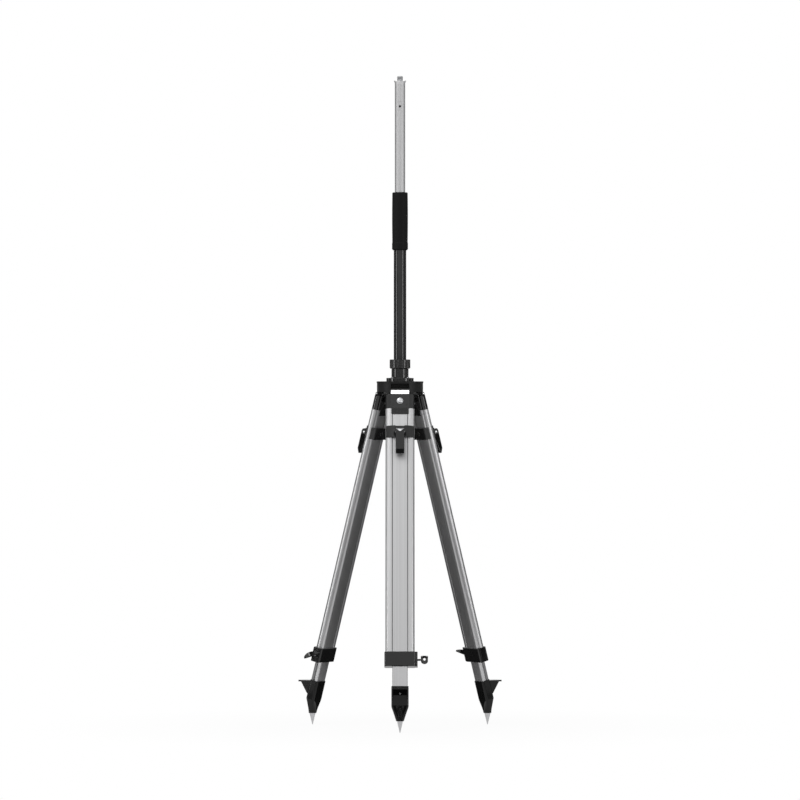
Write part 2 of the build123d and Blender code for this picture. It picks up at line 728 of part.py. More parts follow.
# Pole socket: flange on the head and a neck that the pole stands in, threaded at the top for the clamp nut
with BuildPart() as socket:
    with BuildSketch(Plane.XY.offset(head_top)):
        Circle(flange_radius)
    extrude(amount=flange_height)
    chamfer(socket.edges().group_by(Axis.Z)[-1], corner_round / 2)
    with BuildSketch(Plane.XY.offset(flange_top)):
        Circle(neck_radius)
    extrude(amount=neck_height)
    with BuildSketch(Plane.XY.offset(neck_top)):
        Circle(thread_radius)
    extrude(amount=thread_height)
    with BuildSketch(Plane.XY.offset(pole_bottom)):
        Circle(socket_bore)
    extrude(amount=thread_top - pole_bottom, mode=Mode.SUBTRACT)
    with BuildSketch(Plane.XY.offset(thread_top)):
        Circle(collet_radius + seat_gap)
    extrude(amount=-collet_depth - seat_gap, mode=Mode.SUBTRACT)
    with BuildSketch(Plane.XY.offset(head_top)):
        with PolarLocations(screw_circle, screw_count, start_angle=45):
            Circle(flange_screw_radius + seat_gap)
    extrude(amount=flange_height, mode=Mode.SUBTRACT)
write(socket.part, "pole_socket")

# Flange screws: round heads on the flange
with BuildPart() as flange_screws:
    with BuildSketch(Plane.XY.offset(flange_top)):
        with PolarLocations(screw_circle, screw_count, start_angle=45):
            Circle(flange_screw_head)
    extrude(amount=flange_head_height)
    fillet(flange_screws.edges().group_by(Axis.Z)[-1], flange_head_height / 2)
    with BuildSketch(Plane.XY.offset(flange_top)):
        with PolarLocations(screw_circle, screw_count, start_angle=45):
            Circle(flange_screw_radius)
    extrude(amount=seat_gap - flange_screw_length)
write(flange_screws.part, "flange_screws")

# Collet: slit ring that the nut closes on the pole
with BuildPart() as collet:
    with BuildSketch(Plane.XY.offset(collet_bottom)):
        Circle(collet_radius)
        Circle(collet_bore, mode=Mode.SUBTRACT)
    extrude(amount=collet_height)
    chamfer(collet.edges().group_by(Axis.Z)[-1].sort_by(SortBy.RADIUS)[-1], collet_wall / 2)
    with BuildSketch(Plane.XY.offset(collet_bottom + collet_wall)):
        with PolarLocations(collet_radius, collet_slits, start_angle=45):
            Rectangle(4 * collet_wall, slit_width)
    extrude(amount=collet_height, mode=Mode.SUBTRACT)
write(collet.part, "collet")

# Clamp nut: fluted ring on the neck's thread
with BuildPart() as clamp_nut:
    with BuildSketch(Plane.XY.offset(nut_bottom)):
        Circle(nut_radius)
    extrude(amount=nut_height)
    chamfer(clamp_nut.edges().group_by(Axis.Z)[0], nut_chamfer)
    fillet(clamp_nut.edges().group_by(Axis.Z)[-1], corner_round)
    with BuildSketch(Plane.XY.offset(nut_bottom)):
        with PolarLocations(nut_radius + flute_radius - flute_depth, nut_flutes, start_angle=15):
            Circle(flute_radius)
    extrude(amount=nut_height, mode=Mode.SUBTRACT)
    with BuildSketch(Plane.XY.offset(nut_bottom)):
        Circle(thread_radius + run_gap)
    extrude(amount=nut_height - nut_roof, mode=Mode.SUBTRACT)
    with BuildSketch(Plane.XY.offset(nut_bottom)):
        Circle(socket_bore)
    extrude(amount=nut_height, mode=Mode.SUBTRACT)
write(clamp_nut.part, "clamp_nut")

# Lower pole tube
with BuildPart() as lower_tube:
    with BuildSketch(Plane.XY.offset(pole_bottom)):
        Circle(pole_radius)
        Circle(pole_radius - pole_wall, mode=Mode.SUBTRACT)
    extrude(amount=pole_top - pole_bottom)
write(lower_tube.part, "lower_tube")

# Grip: rubber sleeve, a little fuller in the middle and beaded at the bottom, that caps the tube's end
with BuildPart() as grip:
    with BuildSketch(Plane.XZ):
        with BuildLine():
            bead_top = grip_bottom + grip_bead_height
            bead_radius = grip_end_radius + grip_bead_proud
            side_line = ThreePointArc(
                (grip_end_radius, bead_top + grip_bead_step),
                (grip_middle_radius, (bead_top + grip_top) / 2),
                (grip_end_radius, grip_top),
            )
            Polyline(
                side_line @ 1,
                (0, grip_top),
                (0, grip_bottom),
                (bead_radius, grip_bottom),
                (bead_radius, bead_top),
                side_line @ 0,
            )
        make_face()
    revolve(axis=Axis.Z)
    fillet(grip.edges().filter_by(GeomType.CIRCLE).group_by(Axis.Z)[-1], grip_round)
    chamfer(grip.edges().filter_by(GeomType.CIRCLE).group_by(Axis.Z)[0], grip_chamfer)
    with BuildSketch(Plane.XY.offset(grip_bottom)):
        Circle(pole_radius + seat_gap)
    extrude(amount=pole_top - grip_bottom + seat_gap, mode=Mode.SUBTRACT)
    with BuildSketch(Plane.XY.offset(grip_bottom)):
        Circle(upper_radius + slide_gap)
    extrude(amount=grip_length, mode=Mode.SUBTRACT)
write(grip.part, "grip")

# Guide bush: plastic ring at the lower tube's end that the upper tube runs in
with BuildPart() as guide_bush:
    with BuildSketch(Plane.XY.offset(pole_top - bush_length)):
        Circle(pole_radius - pole_wall - seat_gap)
        Circle(upper_radius + run_gap, mode=Mode.SUBTRACT)
    extrude(amount=bush_length)
write(guide_bush.part, "guide_bush")

# Upper pole tube, with a pin hole in a small flat at the front
pin_hole_plane = Plane((0, -upper_radius, upper_top - pin_hole_drop), x_dir=(1, 0, 0), z_dir=(0, -1, 0))
with BuildPart() as upper_tube:
    with BuildSketch(Plane.XY.offset(upper_bottom)):
        Circle(upper_radius)
        Circle(upper_radius - upper_wall, mode=Mode.SUBTRACT)
    extrude(amount=upper_top - upper_bottom)
    with BuildSketch(pin_hole_plane):
        Circle(pin_hole_radius)
    extrude(amount=-upper_radius, mode=Mode.SUBTRACT)
    with BuildSketch(pin_hole_plane):
        Circle(upper_radius)
    extrude(amount=-spot_depth, mode=Mode.SUBTRACT)
write(upper_tube.part, "upper_tube")

# Top fitting: plug in the upper tube with a collar and two prongs that lean outwards
with BuildPart() as fitting:
    with BuildSketch(Plane.XY.offset(upper_top)):
        Circle(upper_radius - upper_wall - seat_gap)
    extrude(amount=-fitting_spigot)
    with BuildSketch(Plane.XY.offset(upper_top)):
        Circle(upper_radius)
    extrude(amount=fitting_height)
    chamfer(fitting.edges().group_by(Axis.Z)[-1], corner_round)
    prong_top = fitting_top + prong_rise
    prong_root = prong_top - prong_height
    for turn in (0, 180):
        with BuildSketch(Plane(Rot(0, 0, turn - prong_arc / 2) * Plane.XZ.location)):
            with BuildLine():
                Polyline(
                    (upper_radius - prong_wall, prong_root),
                    (upper_radius, prong_root),
                    (upper_radius + prong_lean, prong_top),
                    (upper_radius + prong_lean - prong_wall, prong_top),
                    close=True,
                )
            make_face()
        revolve(axis=Axis.Z, revolution_arc=prong_arc)
    with BuildSketch(Plane.XY.offset(fitting_top)):
        Circle(stud_tail_radius + seat_gap)
    extrude(amount=-stud_tail - seat_gap, mode=Mode.SUBTRACT)
write(fitting.part, "top_fitting")

# Instrument stud: standard survey stud, drawn without its thread
with BuildPart() as stud:
    with BuildSketch(Plane.XY.offset(fitting_top)):
        Circle(stud_radius)
    extrude(amount=stud_length)
    chamfer(stud.edges().group_by(Axis.Z)[-1], stud_chamfer)
    with BuildSketch(Plane.XY.offset(fitting_top)):
        Circle(stud_tail_radius)
    extrude(amount=-stud_tail)
write(stud.part, "instrument_stud")
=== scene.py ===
from math import pi, radians, sqrt

import bpy
from mathutils import Matrix, Vector


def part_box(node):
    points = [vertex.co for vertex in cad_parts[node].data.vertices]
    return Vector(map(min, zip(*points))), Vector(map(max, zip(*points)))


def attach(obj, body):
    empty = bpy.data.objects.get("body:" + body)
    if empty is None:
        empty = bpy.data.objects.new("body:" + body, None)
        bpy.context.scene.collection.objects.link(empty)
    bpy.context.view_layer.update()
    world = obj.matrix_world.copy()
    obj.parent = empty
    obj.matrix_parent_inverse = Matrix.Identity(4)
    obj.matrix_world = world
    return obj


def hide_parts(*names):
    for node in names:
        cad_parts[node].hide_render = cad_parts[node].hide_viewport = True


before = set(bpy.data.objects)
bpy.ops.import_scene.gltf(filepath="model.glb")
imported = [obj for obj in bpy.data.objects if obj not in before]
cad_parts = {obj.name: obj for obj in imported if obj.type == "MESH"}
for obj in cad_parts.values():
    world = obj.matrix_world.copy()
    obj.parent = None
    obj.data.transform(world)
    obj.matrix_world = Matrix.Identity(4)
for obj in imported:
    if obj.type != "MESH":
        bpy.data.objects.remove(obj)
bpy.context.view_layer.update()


# Tripod head: a round die casting with three leg slots, under a thin semi-gloss black coat.
# The coat has a fine orange peel, softens the edges and thins a little on the sharpest of them.
class Wire:
    """An output of a material's nodes. Arithmetic on it adds Math nodes, and node() adds any other kind."""

    def __init__(self, tree, socket=None):
        self.tree = tree
        self.socket = socket

    def node(self, kind, settings=None, *by_order, output=None, **by_name):
        made = self.tree.nodes.new("ShaderNode" + kind)
        for name, value in (settings or {}).items():
            setattr(made, name, value)
        shown = [socket for socket in made.inputs if socket.enabled]
        places = list(zip(shown, by_order))
        for name, value in by_name.items():
            wanted = name.replace("_", " ")
            places.append((next(socket for socket in shown if socket.name == wanted), value))
        for socket, value in places:
            if isinstance(value, Wire):
                self.tree.links.new(value.socket, socket)
            else:
                socket.default_value = value
        outputs = [socket for socket in made.outputs if socket.enabled]
        named = [socket for socket in outputs if socket.name == output]
        return Wire(self.tree, (named or outputs or [None])[0])

    def mix(self, factor, low, high):
        """The colour low where the factor is 0, and high where it is 1."""
        return self.node("Mix", {"data_type": "RGBA"}, Factor=factor, A=low, B=high)

    def surface(self, **by_name):
        """End a finish with its shader, given by the names of the shader's sockets."""
        shader = self.node("BsdfPrincipled", None, **by_name)
        self.node("OutputMaterial", None, Surface=shader)

    def __add__(self, other):
        return self.node("Math", {"operation": "ADD"}, self, other)

    def __sub__(self, other):
        return self.node("Math", {"operation": "SUBTRACT"}, self, other)

    def __rsub__(self, other):
        return self.node("Math", {"operation": "SUBTRACT"}, other, self)

    def __mul__(self, other):
        return self.node("Math", {"operation": "MULTIPLY"}, self, other)

    __radd__ = __add__
    __rmul__ = __mul__


def new_finish(name):
    """An empty material and the wire that its nodes start from."""
    finish = bpy.data.materials.new(name)
    finish.use_nodes = True
    finish.node_tree.nodes.clear()
    return finish, Wire(finish.node_tree)


def dress(finish, *names):
    """Give CAD nodes a finish."""
    for name in names:
        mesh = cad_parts[name].data
        mesh.materials.clear()
        mesh.materials.append(finish)


def shade(grey, blue=1.0):
    """A grey colour, with its blue a little stronger where asked."""
    return (grey, grey, blue * grey, 1)


def worn_edge(start, reach):
    """1 on sharp outer edges, 0 on faces and curves."""
    rounded = start.node("Bevel", {"samples": 6}, Radius=reach)
    plain = start.node("NewGeometry", output="Normal")
    same = start.node("VectorMath", {"operation": "DOT_PRODUCT"}, rounded, plain, output="Value")
    return start.node("MapRange", None, 1 - same, From_Min=0.03, From_Max=0.25)


def cast_black(name, coat_grey, bare_grey, gloss, peel_height, level):
    finish, start = new_finish(name)
    place = start.node("TexCoord", output="Object")
    peel = start.node("TexNoise", None, Vector=place, Scale=1100.0, Detail=2.0)
    cloud = start.node("TexNoise", None, Vector=place, Scale=38.0, Detail=4.0)
    speck = start.node("TexNoise", None, Vector=place, Scale=420.0, Detail=3.0)
    flaked = start.node("MapRange", None, speck, From_Min=0.5, From_Max=0.75)
    worn = worn_edge(start, reach=0.0009) * flaked
    coat = start.mix(cloud, shade(0.8 * coat_grey), shade(1.2 * coat_grey))
    colour = start.mix(worn * 0.5, coat, shade(bare_grey))
    edge = start.node("Bevel", {"samples": 4}, Radius=0.0006)
    relief = start.node("Bump", None, Height=peel, Strength=peel_height, Distance=0.00015, Normal=edge)
    start.surface(
        Base_Color=colour, Roughness=gloss + cloud * 0.06, Normal=relief, Specular_IOR_Level=level
    )
    return finish


head_coat = cast_black(
    "head_black_coat", coat_grey=0.006, bare_grey=0.14, gloss=0.42, peel_height=0.25, level=0.2
)
dress(head_coat, "head_hub")


# Pole socket and clamp nut: turned aluminium, hard anodised black, with the tool's rings left on them.
# The socket's flange is screwed to the head, and the nut runs on the thread hidden at the top of its neck.
def turned_black(name, grey, gloss, level):
    finish, start = new_finish(name)
    place = start.node("TexCoord", output="Object")
    ring_place = start.node("Mapping", None, Vector=place, Scale=(90.0, 90.0, 5200.0))
    rings = start.node("TexNoise", None, Vector=ring_place, Scale=1.0, Detail=2.0)
    cloud = start.node("TexNoise", None, Vector=place, Scale=60.0, Detail=3.0)
    rubbed = start.node("MapRange", None, cloud, From_Min=0.45, From_Max=0.7)
    worn = worn_edge(start, reach=0.0007) * rubbed
    body = start.mix(rings, shade(0.75 * grey), shade(1.25 * grey))
    colour = start.mix(worn * 0.4, body, shade(0.2, blue=1.025))
    edge = start.node("Bevel", {"samples": 4}, Radius=0.0005)
    relief = start.node("Bump", None, Height=rings, Strength=0.12, Distance=0.0001, Normal=edge)
    start.surface(
        Base_Color=colour, Roughness=gloss + rings * 0.1, Normal=relief, Specular_IOR_Level=level
    )
    return finish


socket_anodising = turned_black("socket_black_anodising", grey=0.007, gloss=0.12, level=0.52)
nut_anodising = turned_black("nut_black_anodising", grey=0.007, gloss=0.18, level=0.45)
dress(socket_anodising, "pole_socket", "collet")
dress(nut_anodising, "clamp_nut")


# Flange screws: four zinc-plated button heads with a hexagon socket, which hold the flange down.
# The heads are modelled once and copied round the flange, on the screws of the CAD model.
def plated_steel(name, grey, gloss):
    finish, start = new_finish(name)
    place = start.node("TexCoord", output="Object")
    cloud = start.node("TexNoise", None, Vector=place, Scale=260.0, Detail=3.0)
    scuff = start.node("TexNoise", None, Vector=place, Scale=1500.0, Detail=2.0)
    colour = start.mix(cloud, shade(0.82 * grey), (1.04 * grey, 1.06 * grey, 1.1 * grey, 1))
    edge = start.node("Bevel", {"samples": 4}, Radius=0.0003)
    relief = start.node("Bump", None, Height=scuff, Strength=0.1, Distance=0.0001, Normal=edge)
    start.surface(Base_Color=colour, Metallic=1.0, Roughness=gloss + cloud * 0.15, Normal=relief)
    return finish


def add_drum(name, radius, low, high, sides=48):
    """A closed drum on the Z axis between two heights, the only thing selected."""
    bpy.ops.object.select_all(action="DESELECT")
    middle = (0, 0, (low + high) / 2)
    bpy.ops.mesh.primitive_cylinder_add(vertices=sides, radius=radius, depth=high - low, location=middle)
    drum = bpy.context.active_object
    drum.name = drum.data.name = name
    bpy.ops.object.transform_apply(location=True, rotation=True, scale=True)
    return drum


def round_rim(piece, height, width, steps):
    """Round the rim of a drum at this height."""
    same_height = 1e-6
    bpy.context.tool_settings.mesh_select_mode = (False, True, False)
    bpy.ops.object.mode_set(mode="EDIT")
    bpy.ops.mesh.select_all(action="DESELECT")
    bpy.ops.object.mode_set(mode="OBJECT")
    for edge in piece.data.edges:
        ends = [piece.data.vertices[corner].co for corner in edge.vertices]
        edge.select = all(abs(end.z - height) < same_height for end in ends)
    bpy.ops.object.mode_set(mode="EDIT")
    bpy.ops.mesh.bevel(offset=width, segments=steps, affect="EDGES")
    bpy.ops.object.mode_set(mode="OBJECT")


def cut_with(piece, tool, operation):
    """Cut a piece with a tool, or keep what is inside the tool, and throw the tool away."""
    bpy.ops.object.select_all(action="DESELECT")
    bpy.context.view_layer.objects.active = piece
    piece.select_set(True)
    cut = piece.modifiers.new("cut", "BOOLEAN")
    cut.operation = operation
    cut.solver = "EXACT"
    cut.object = tool
    bpy.ops.object.modifier_apply(modifier="cut")
    bpy.data.objects.remove(tool)


def button_head(name, radius, height, key):
    """A button head that stands on z = 0, with a hexagon socket of this key."""
    head = add_drum(name, radius, low=0.0, high=height)
    round_rim(head, height, width=0.75 * height, steps=5)
    socket = add_drum(name + "_socket", key / sqrt(3), low=0.45 * height, high=2 * height, sides=6)
    cut_with(head, socket, "DIFFERENCE")
    return head


def merge(pieces, name):
    """Join pieces into the first of them and shade its curves smooth."""
    smooth_angle = radians(35)
    bpy.ops.object.select_all(action="DESELECT")
    for piece in pieces:
        piece.select_set(True)
    bpy.context.view_layer.objects.active = pieces[0]
    if len(pieces) > 1:
        bpy.ops.object.join()
    merged = bpy.context.active_object
    merged.name = merged.data.name = name
    bpy.ops.object.shade_smooth_by_angle(angle=smooth_angle)
    return merged


def copy_at(piece, place):
    """A copy of a piece with its own mesh, moved by a matrix."""
    twin = bpy.data.objects.new(piece.name, piece.data.copy())
    bpy.context.scene.collection.objects.link(twin)
    twin.data.transform(place)
    return twin


screw_plating = plated_steel("flange_screw_plating", grey=0.3, gloss=0.26)
screw_height = 0.0024
screw_circle = 0.0283
flange_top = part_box("flange_screws")[1].z - screw_height
first_head = button_head("flange_screw_heads", radius=0.0036, height=screw_height, key=0.0025)
screw_heads = []
for turn in (45, 135, 225, 315):
    on_circle = Matrix.Translation((screw_circle, 0, flange_top))
    screw_heads.append(copy_at(first_head, Matrix.Rotation(radians(turn), 4, "Z") @ on_circle))
bpy.data.objects.remove(first_head)
flange_screw_heads = merge(screw_heads, "flange_screw_heads")
flange_screw_heads.data.materials.append(screw_plating)
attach(flange_screw_heads, "head")
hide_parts("flange_screws")


# Hinge axles: bright turned bars, riveted over at both ends in the head's lugs.
# The casting and the jaw of a leg pinch each of them.
# The rivet heads are coated black with the head, and bare where the tool closed them.
legs = {"front": 0, "right": 120, "left": 240}
hinge_radius = 0.0454
hinge_height = 0.856638
leg_splay = radians(15.05)
coat_start = 0.030
coat_edge = 0.0006
bare_spot = 0.0010
bare_spot_edge = 0.0018


def leg_place(turn):
    """Matrix from a leg's own frame, hinge at the origin and leg hanging down, to where it stands."""
    swing = Matrix.Translation((0, -hinge_radius, hinge_height)) @ Matrix.Rotation(-leg_splay, 4, "X")
    return Matrix.Rotation(radians(turn), 4, "Z") @ swing


def in_leg(start, turn):
    """Object coordinates turned into a leg's own frame."""
    hinge = leg_place(turn).to_translation()
    place = start.node("TexCoord", output="Object")
    lean = (-leg_splay, 0, radians(turn))
    return start.node("Mapping", {"vector_type": "TEXTURE"}, Vector=place, Location=hinge, Rotation=lean)


for leg, turn in legs.items():
    finish, start = new_finish(leg + "_axle_polish")
    along = in_leg(start, turn)
    ring_place = start.node("Mapping", None, Vector=along, Scale=(2600.0, 60.0, 60.0))
    rings = start.node("TexNoise", None, Vector=ring_place, Scale=1.0, Detail=2.0)
    relief = start.node("Bump", None, Height=rings, Strength=0.08, Distance=0.0001)
    tone = start.mix(rings, (0.66, 0.66, 0.67, 1), shade(0.86))
    across = start.node("Math", {"operation": "ABSOLUTE"}, start.node("SeparateXYZ", None, along))
    rivet = start.node("MapRange", None, across, From_Min=coat_start, From_Max=coat_start + coat_edge)
    flat_place = start.node("Mapping", None, Vector=along, Scale=(0.0, 1.0, 1.0))
    off_axis = start.node("VectorMath", {"operation": "LENGTH"}, flat_place, output="Value")
    coated = rivet * start.node("MapRange", None, off_axis, From_Min=bare_spot, From_Max=bare_spot_edge)
    start.surface(
        Base_Color=start.mix(coated, tone, shade(0.008)),
        Metallic=1 - coated,
        Roughness=0.16 + rings * 0.12 + coated * 0.2,
        Normal=relief,
    )
    dress(finish, leg + "_hinge_axle")


# Hinge castings and clamp jaws: the same coated die casting as the head, one pair on each leg.
# The casting caps the rails, and the jaw is the plate that the bolt draws on to the axle.
casting_coat = cast_black(
    "casting_black_coat", coat_grey=0.006, bare_grey=0.15, gloss=0.05, peel_height=0.06, level=0.5
)
jaw_coat = cast_black(
    "jaw_black_coat", coat_grey=0.02, bare_grey=0.18, gloss=0.42, peel_height=0.25, level=0.35
)
for leg in legs:
    dress(casting_coat, leg + "_hinge_casting")
    dress(jaw_coat, leg + "_clamp_jaw")


# Pinch bolts: a plated button head on a washer at the jaw's front, and a hexagon nut behind the casting.
# One is modelled in the leg's own frame and copied to each leg.
def copy_to_leg(first, leg, name):
    """A copy of a piece that was modelled in a leg's own frame, where this leg stands."""
    twin = copy_at(first, leg_place(legs[leg]))
    twin.name = twin.data.name = leg + name
    return twin


bolt_drop = 0.0224
jaw_front = 0.012
leg_back = 0.0105
washer_top = 0.0009
head_seat = 0.0008
nut_width = 0.010
nut_seat = -jaw_front - leg_back
nut_end = nut_seat - 0.004
shank_end = nut_seat - 0.0045
facing_out = Matrix.Rotation(radians(90), 4, "X")
bolt_plating = plated_steel("pinch_bolt_plating", grey=0.62, gloss=0.2)
washer = add_drum("washer", radius=0.0080, low=0.0, high=washer_top)
round_rim(washer, washer_top, width=0.0003, steps=2)
bolt_head = button_head("bolt_head", radius=0.0068, height=0.0036, key=0.003)
bolt_head.data.transform(Matrix.Translation((0, 0, head_seat)))
shank = add_drum("shank", radius=0.003, low=shank_end, high=0.0005, sides=32)
round_rim(shank, shank_end, width=0.0005, steps=2)
nut = add_drum("nut", radius=nut_width / sqrt(3), low=nut_end, high=nut_seat, sides=6)
round_rim(nut, nut_end, width=0.0005, steps=2)
first_bolt = merge([bolt_head, washer, shank, nut], "first_bolt")
first_bolt.data.materials.append(bolt_plating)
first_bolt.data.transform(Matrix.Translation((0, -jaw_front, -bolt_drop)) @ facing_out)
for leg in legs:
    bolt = copy_to_leg(first_bolt, leg, "_pinch_bolt_dressed")
    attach(bolt, leg + "_leg")
    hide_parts(leg + "_pinch_bolt")
bpy.data.objects.remove(first_bolt)


# Rails and inner legs: aluminium extrusions, satin anodised, with fine drawing lines down their length.
# Two rails make a leg, and the inner leg slides between them on their ribs.
# A dark line is painted where they meet: painted shade for the groove between them.
slide_joint = 0.0197
joint_shade_core = 0.0006
joint_shade_edge = 0.0014
joint_shade_fade = 0.004


def drawn_aluminium(name, turn, grey, gloss):
    """The finish of a leg's extrusions, or of a plain upright tube where no turn is given."""
    finish, start = new_finish(name)
    along = in_leg(start, turn) if turn is not None else start.node("TexCoord", output="Object")
    fine_place = start.node("Mapping", None, Vector=along, Scale=(2400.0, 2400.0, 3.0))
    fine = start.node("TexNoise", None, Vector=fine_place, Scale=1.0, Detail=3.0)
    broad_place = start.node("Mapping", None, Vector=along, Scale=(260.0, 260.0, 0.8))
    broad = start.node("TexNoise", None, Vector=broad_place, Scale=1.0, Detail=2.0)
    grain = start.node("TexNoise", None, Vector=along, Scale=3200.0, Detail=1.0)
    lines = fine * 0.4 + broad * 0.6
    colour = start.mix(lines, shade(0.8 * grey, blue=1.01), shade(1.2 * grey, blue=1.01))
    # Painted shade: a dark line along the joint of rail and inner leg, stronger towards the leg's outer
    # face.
    if turn is not None:
        across = start.node("Math", {"operation": "ABSOLUTE"}, start.node("SeparateXYZ", None, along))
        off_joint = start.node("Math", {"operation": "ABSOLUTE"}, across - slide_joint)
        line = start.node(
            "MapRange", None, off_joint, From_Min=joint_shade_core, From_Max=joint_shade_edge, To_Min=1.0, To_Max=0.0
        )
        deep = start.node("SeparateXYZ", None, along, output="Y")
        strength = start.node(
            "MapRange", None, deep, From_Min=-joint_shade_fade, From_Max=joint_shade_fade, To_Min=0.75, To_Max=0.2
        )
        colour = start.mix(line * strength, colour, shade(0.03))
    edge = start.node("Bevel", {"samples": 4}, Radius=0.0004)
    height = fine * 0.7 + grain * 0.3
    relief = start.node("Bump", None, Height=height, Strength=0.04, Distance=0.0001, Normal=edge)
    start.surface(Base_Color=colour, Metallic=1.0, Roughness=gloss + lines * 0.12, Normal=relief)
    return finish


for leg, turn in legs.items():
    rail_anodising = drawn_aluminium(leg + "_rail_anodising", turn, grey=0.49, gloss=0.36)
    inner_anodising = drawn_aluminium(leg + "_inner_anodising", turn, grey=0.46, gloss=0.36)
    dress(rail_anodising, leg + "_rail_left", leg + "_rail_right")
    dress(inner_anodising, leg + "_inner_leg")


# Upper clamps: a moulded band and back round the rails, a cam lever on a steel pin, and its pressure pad.
# The mouldings are glass-filled nylon with a fine spark-eroded grain and a little polish where hands go.
# A bright curved insert fills the notch at the lever's top.
def moulded_black(name, grey, gloss, grain_height, level):
    finish, start = new_finish(name)
    place = start.node("TexCoord", output="Object")
    grain = start.node("TexNoise", None, Vector=place, Scale=2300.0, Detail=2.0)
    cloud = start.node("TexNoise", None, Vector=place, Scale=48.0, Detail=3.0)
    rubbed = worn_edge(start, reach=0.0012)
    body = start.mix(cloud, shade(0.75 * grey), shade(1.25 * grey))
    colour = start.mix(rubbed * 0.6, body, shade(2.6 * grey))
    edge = start.node("Bevel", {"samples": 4}, Radius=0.0007)
    relief = start.node("Bump", None, Height=grain, Strength=grain_height, Distance=0.00015, Normal=edge)
    start.surface(
        Base_Color=colour,
        Roughness=gloss + cloud * 0.04 - rubbed * 0.03,
        Normal=relief,
        Specular_IOR_Level=level,
    )
    return finish


band_nylon = moulded_black("band_black_nylon", grey=0.006, gloss=0.28, grain_height=0.3, level=0.4)
back_nylon = moulded_black("back_black_nylon", grey=0.004, gloss=0.16, grain_height=0.1, level=0.6)
lever_nylon = moulded_black("lever_black_nylon", grey=0.005, gloss=0.03, grain_height=0.01, level=0.5)
pin_plating = plated_steel("lever_pin_plating", grey=0.5, gloss=0.22)
pad_plating = plated_steel("pad_bright_steel", grey=0.7, gloss=0.26)
insert_plating = plated_steel("lever_insert_plating", grey=0.72, gloss=0.24)
lever_pin_out = 0.026
lever_pin_drop = 0.1085
lever_root = 0.010
insert_outer = lever_root - 0.0004
insert_inner = lever_root - 0.0026
insert_half = 0.0102
notch_half_width = 0.0136
notch_depth = 0.0101
along_pin = Matrix.Rotation(radians(90), 4, "Y")
first_insert = add_drum("first_insert", insert_outer, low=-insert_half, high=insert_half, sides=96)
first_insert.data.transform(along_pin)
hollow = add_drum("hollow", insert_inner, low=-0.02, high=0.02, sides=96)
hollow.data.transform(along_pin)
cut_with(first_insert, hollow, "DIFFERENCE")
notch = add_drum("notch", radius=1.0, low=0.0, high=0.03, sides=4)
notch.data.transform(facing_out @ Matrix.Diagonal((notch_half_width, notch_depth, 1, 1)))
notch.data.transform(Matrix.Translation((0, 0, lever_root)))
cut_with(first_insert, notch, "INTERSECT")
first_insert.data.transform(Matrix.Translation((0, -lever_pin_out, -lever_pin_drop)))
first_insert = merge([first_insert], "first_insert")
first_insert.data.materials.append(insert_plating)
for leg in legs:
    dress(band_nylon, leg + "_clamp_band")
    dress(back_nylon, leg + "_clamp_back")
    dress(lever_nylon, leg + "_clamp_lever")
    dress(pin_plating, leg + "_lever_pin")
    dress(pad_plating, leg + "_pressure_pad")
    insert = copy_to_leg(first_insert, leg, "_lever_insert")
    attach(insert, leg + "_lever")
bpy.data.objects.remove(first_insert)


# Lower collars and thumb screws: a moulded collar on the rails' ends and a screw with a flat loop to turn.
# The screw's thread shows on the neck between the collar and the loop.
ridge_share = 0.92  # of the pitch


def thread_ridge(name, root, crest, pitch, turns):
    """A single thread round the Z axis that starts at z = 0."""
    half = ridge_share / 2 * pitch
    bpy.ops.object.select_all(action="DESELECT")
    bpy.ops.mesh.primitive_circle_add(vertices=3, radius=1.0, fill_type="NOTHING")
    ridge = bpy.context.active_object
    ridge.name = ridge.data.name = name
    for corner, place in zip(ridge.data.vertices, [(root, 0, -half), (crest, 0, 0), (root, 0, half)]):
        corner.co = place
    winding = ridge.modifiers.new("winding", "SCREW")
    winding.axis = "Z"
    winding.angle = radians(360)
    winding.screw_offset = pitch
    winding.iterations = turns
    winding.steps = winding.render_steps = 32
    winding.use_normal_calculate = True
    bpy.ops.object.modifier_apply(modifier="winding")
    bpy.ops.object.mode_set(mode="EDIT")
    bpy.ops.mesh.select_all(action="SELECT")
    bpy.ops.mesh.fill_holes(sides=0)
    bpy.ops.mesh.normals_make_consistent(inside=False)
    bpy.ops.object.mode_set(mode="OBJECT")
    return ridge


collar_nylon = moulded_black("collar_black_nylon", grey=0.005, gloss=0.05, grain_height=0.015, level=0.45)
loop_nylon = moulded_black("loop_black_nylon", grey=0.005, gloss=0.06, grain_height=0.015, level=0.6)
thread_plating = plated_steel("thumb_screw_thread_plating", grey=0.22, gloss=0.3)
collar_block = 0.0445
thread_start = collar_block + 0.0010
screw_drop = 0.698
along_screw = Matrix.Rotation(radians(90), 4, "Y")
first_thread = thread_ridge("first_thread", root=0.0021, crest=0.0029, pitch=0.001, turns=6)
first_thread.data.transform(Matrix.Translation((thread_start, 0, -screw_drop)) @ along_screw)
first_thread = merge([first_thread], "first_thread")
first_thread.data.materials.append(thread_plating)
for leg in legs:
    dress(collar_nylon, leg + "_collar")
    dress(loop_nylon, leg + "_thumb_screw")
    thread = copy_to_leg(first_thread, leg, "_thumb_screw_thread")
    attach(thread, leg + "_screw")
bpy.data.objects.remove(first_thread)


